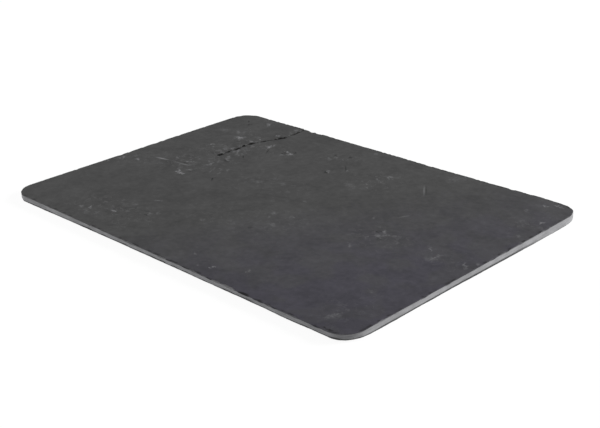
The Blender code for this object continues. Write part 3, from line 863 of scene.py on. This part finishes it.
def spots(tree, place, listed):
    """The sum over listed spots: for each, a round falloff in its own turned and stretched space, times its
    strength."""
    total = 0.0
    for x, y, half_length, half_width, turn, strength in listed:
        own = node(tree, "Mapping", {
            "Vector": place,
            "Location": (x * MM, y * MM, THICKNESS),
            "Rotation": (0, 0, np.radians(turn)),
            "Scale": (FADE_OUT * half_length * MM, FADE_OUT * half_width * MM, MARK_THICKNESS),
        }, vector_type="TEXTURE")
        round_off = node(tree, "TexGradient", {"Vector": own}, gradient_type="SPHERICAL")
        total = node(tree, "Math", {0: round_off.outputs["Fac"], 1: strength, 2: total},
                     operation="MULTIPLY_ADD")
    return total


def fine_lines(tree, place, size, reach):
    """Short wavering lines: where a noise is within the reach of its middle value, which is along closed
    curves, broken up by a finer noise."""
    field = node(tree, "TexNoise", {"Vector": place, "Scale": per_mm(size), "Detail": 2.0})
    lines = node(tree, "Math", {0: field.outputs["Fac"], 1: 0.5, 2: reach}, operation="COMPARE")
    gaps = node(tree, "TexNoise", {"Vector": place, "Scale": per_mm(LINE_GAPS * size), "Detail": 1.0})
    kept = node(tree, "MapRange", {"Value": gaps.outputs["Fac"], "From Min": 0.50, "From Max": 0.60})
    return node(tree, "Math", {0: lines, 1: kept}, operation="MULTIPLY")


def riven_stone(tree, place):
    """The riven stone before any wear: its tone, from near black to dark grey, in plain and in violet. The
    violet's share is how far the place is from its start to where it is full, times the veils."""
    bright = tone(tree, (place, CLOUDS), (place, BLOTCHES), (place, MOTTLE))
    plain = node(tree, "Mix", {"Factor": bright, "A": linear("#161616"), "B": linear("#505050")},
                 data_type="RGBA")
    violet = node(tree, "Mix", {"Factor": bright, "A": linear("#14131a"), "B": linear("#4b4953")},
                  data_type="RGBA")
    along = node(tree, "VectorMath", {0: place, 1: VIOLET_WAY}, operation="DOT_PRODUCT")
    grown = node(tree, "MapRange", {"Value": along.outputs["Value"], "From Min": VIOLET_START,
                                    "From Max": VIOLET_FULL})
    size, detail = VEILS
    veils = node(tree, "TexNoise", {"Vector": place, "Scale": per_mm(size), "Detail": detail})
    patchy = node(tree, "MapRange", {"Value": veils.outputs["Fac"], "From Min": 0.40, "From Max": 0.55,
                                     "To Min": 0.7, "To Max": 1.3})
    tinted = node(tree, "Math", {0: grown, 1: patchy}, operation="MULTIPLY")
    return node(tree, "Mix", {"Factor": tinted, "A": plain, "B": violet}, data_type="RGBA")


def swayed_place(tree, place):
    """The place, moved about over the face by a noise, so that marks have uneven outlines."""
    swing = node(tree, "TexNoise", {"Vector": place, "Scale": per_mm(SWAY_SIZE), "Detail": 1.0})
    centred = node(tree, "VectorMath", {0: swing.outputs["Color"], 1: (0.5, 0.5, 0.5)},
                   operation="SUBTRACT")
    return node(tree, "VectorMath", {0: centred, 1: (SWAY, SWAY, 0.0), 2: place},
                operation="MULTIPLY_ADD")


def riven_wear(tree, place):
    """How far the riven stone is scuffed to powder, and how far it is dark, as pits or as painted shade,
    from 0 to 1. The marks, made ragged by the grain, and the scratches count for both: above 0 as powder,
    below 0 as pits. Fine lines add to each, and the mesh's own shares count where they are more: its dark
    share is painted shade in the crack, in the chips' hollows and in the dips at the rim."""
    swayed = swayed_place(tree, place)
    size, detail = GRAIN
    grain = node(tree, "TexNoise", {"Vector": place, "Scale": per_mm(size), "Detail": detail})
    ragged = node(tree, "MapRange", {"Value": grain.outputs["Fac"], "From Min": 0.40, "From Max": 0.60,
                                     "To Min": 0.4, "To Max": 1.6})
    uneven = node(tree, "Math", {0: spots(tree, swayed, MARKS), 1: ragged}, operation="MULTIPLY")
    marks = node(tree, "Math", {0: uneven, 1: spots(tree, place, SCRATCHES)})
    pits = node(tree, "Math", {0: marks, 1: -PIT_DARKNESS}, operation="MULTIPLY")

    worn = node(tree, "Math", {0: spots(tree, place, WORN_AREAS), 1: LINES_GATHERED, 2: LINES_EVERYWHERE},
                operation="MULTIPLY_ADD")
    long_lines = fine_lines(tree, swayed, *LONG_PALE_LINES)
    short_lines = fine_lines(tree, swayed, *SHORT_PALE_LINES)
    pale_lines = node(tree, "Math", {0: long_lines, 1: short_lines}, operation="MAXIMUM")
    dark_lines = fine_lines(tree, swayed, *DARK_LINES)

    scratched = node(tree, "Math", {0: pale_lines, 1: worn, 2: marks}, operation="MULTIPLY_ADD")
    scored = node(tree, "Math", {0: dark_lines, 1: worn, 2: pits}, operation="MULTIPLY_ADD")
    pale = node(tree, "Attribute", attribute_name="pale").outputs["Fac"]
    dark = node(tree, "Attribute", attribute_name="dark").outputs["Fac"]
    scuffed = node(tree, "Math", {0: pale, 1: scratched}, operation="MAXIMUM", use_clamp=True)
    # Pits, and the painted shade of the mesh's dark share.
    hollow = node(tree, "Math", {0: dark, 1: scored}, operation="MAXIMUM", use_clamp=True)
    return scuffed, hollow


def riven_slate():
    """Slate split along its cleavage and left as split. It looks near black and dull, with soft clouds, a
    breath of violet towards one corner, a dry mottle, fine scratches, scuffs and chips where it shows as
    pale powder, and small pits. Shade is painted near black in the crack and in hollows along the arris."""
    material, tree, shader = new_material("riven slate")
    place = node(tree, "TexCoord").outputs["Object"]
    scuffed, hollow = riven_wear(tree, place)
    powdered = node(tree, "Mix", {"Factor": scuffed, "A": riven_stone(tree, place),
                                  "B": linear("#747476")}, data_type="RGBA")
    # Near black for the pits and for the painted shade.
    pitted_and_shaded = node(tree, "Mix", {"Factor": hollow, "A": powdered, "B": linear("#040404")},
                    data_type="RGBA")
    size, detail = GRIT
    grit = node(tree, "TexNoise", {"Vector": place, "Scale": per_mm(size), "Detail": detail})
    bump = node(tree, "Bump", {"Height": grit.outputs["Fac"], "Strength": 0.35, "Distance": GRIT_DEPTH})
    set_inputs(tree, shader, {"Base Color": pitted_and_shaded, "Normal": bump, "Roughness": 0.75, "IOR": 1.5,
                              "Specular IOR Level": 0.35})
    return material


def sawn_slate():
    """Slate sawn across its layers and rubbed down. The saw bruises it to a pale grey powder, in which the
    layers show as fine streaks along the edge. The break at the foot is dark natural slate, made darker
    still as painted shade, and the same colour paints the strip low on the right side, which is partly
    painted shade."""
    material, tree, shader = new_material("sawn slate")
    place = node(tree, "TexCoord").outputs["Object"]
    along = node(tree, "Mapping", {"Vector": place, "Scale": (1.0, 1.0, LAYER_STRETCH)})
    bright = tone(tree, (along, LAYERS), (place, DUSTING))
    powder = node(tree, "Mix", {"Factor": bright, "A": linear("#474748"), "B": linear("#98989a")},
                  data_type="RGBA")
    # Dark slate of the break, darkened further as painted shade of the foot next to the floor.
    break_stone_and_shade = linear("#3d3d3e")
    pale = node(tree, "Attribute", attribute_name="pale").outputs["Fac"]
    dark = node(tree, "Attribute", attribute_name="dark").outputs["Fac"]
    stone = node(tree, "Mix", {"Factor": pale, "A": break_stone_and_shade, "B": powder}, data_type="RGBA")
    shaded = node(tree, "Mix", {"Factor": dark, "A": stone, "B": break_stone_and_shade}, data_type="RGBA")
    size, detail = SCORES
    scores = node(tree, "TexNoise", {"Vector": along, "Scale": per_mm(size), "Detail": detail})
    bump = node(tree, "Bump", {"Height": scores.outputs["Fac"], "Strength": 0.6, "Distance": SCORE_DEPTH})
    set_inputs(tree, shader, {"Base Color": shaded, "Normal": bump, "Roughness": 0.9, "IOR": 1.5,
                              "Specular IOR Level": 0.1})
    return material


def studio_floor():
    """A flat white floor, lit from within and a little by the lamps, so that it stays white up to the slab
    with only a breath of shade against it."""
    half = FLOOR_SIZE / 2
    corners = [(sx * half, sy * half, -FLOOR_DROP) for sx, sy in ((-1, -1), (1, -1), (1, 1), (-1, 1))]
    mesh = bpy.data.meshes.new("floor")
    mesh.from_pydata(corners, [], [(0, 1, 2, 3)])
    material, tree, shader = new_material("white studio floor")
    set_inputs(tree, shader, {"Base Color": FLOOR_GREY, "Roughness": 1.0, "Specular IOR Level": 0.0,
                              "Emission Color": WHITE, "Emission Strength": FLOOR_GLOW})
    mesh.materials.append(material)
    floor = bpy.data.objects.new("floor", mesh)
    bpy.context.scene.collection.objects.link(floor)
    return floor


def soft_box(name, turn, rise, distance, size, power):
    """A square area lamp, turned about the slab and raised, in degrees, that faces the slab's middle."""
    turn, rise = np.radians(turn), np.radians(rise)
    away = Vector((np.cos(turn) * np.cos(rise), np.sin(turn) * np.cos(rise), np.sin(rise)))
    lamp = bpy.data.lights.new(name, "AREA")
    lamp.shape = "SQUARE"
    lamp.size = size
    lamp.energy = power
    box = bpy.data.objects.new(name, lamp)
    box.location = away * distance
    box.rotation_euler = away.to_track_quat("Z", "Y").to_euler()
    bpy.context.scene.collection.objects.link(box)


def surround():
    """An even dim light from all round, as from the walls of the studio."""
    world = bpy.data.worlds.new("surround")
    world.use_nodes = True
    background = world.node_tree.nodes["Background"]
    set_inputs(world.node_tree, background, {"Color": WHITE, "Strength": SURROUND})
    bpy.context.scene.world = world


def camera():
    """Stands off from its aim, turned from the front towards the right, raised, and rolled a little."""
    turn, rise, roll = np.radians((CAMERA_TURN, CAMERA_RISE, CAMERA_ROLL))
    back = Vector((np.sin(turn) * np.cos(rise), -np.cos(turn) * np.cos(rise), np.sin(rise)))
    level = Vector((np.cos(turn), np.sin(turn), 0.0))
    upright = back.cross(level)
    right = level * np.cos(roll) + upright * np.sin(roll)
    up = upright * np.cos(roll) - level * np.sin(roll)
    lens = bpy.data.cameras.new("camera")
    lens.lens = CAMERA_LENS
    lens.clip_start = 0.01
    lens.clip_end = 100.0
    eye = bpy.data.objects.new("camera", lens)
    place = CAMERA_AIM + back * CAMERA_DISTANCE
    eye.matrix_world = Matrix((
        (right.x, up.x, back.x, place.x),
        (right.y, up.y, back.y, place.y),
        (right.z, up.z, back.z, place.z),
        (0.0, 0.0, 0.0, 1.0),
    ))
    bpy.context.scene.collection.objects.link(eye)
    bpy.context.scene.camera = eye


camera()
surround()
soft_box("right soft box", turn=55.0, rise=18.0, distance=4.0, size=1.6, power=300.0)
soft_box("left soft box", turn=-150.0, rise=18.0, distance=1.6, size=0.8, power=15.0)
studio_floor()
bpy.context.scene.view_settings.view_transform = "Standard"

slab = slab_surface(riven_slate(), sawn_slate())
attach(slab, "root")
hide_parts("slab")
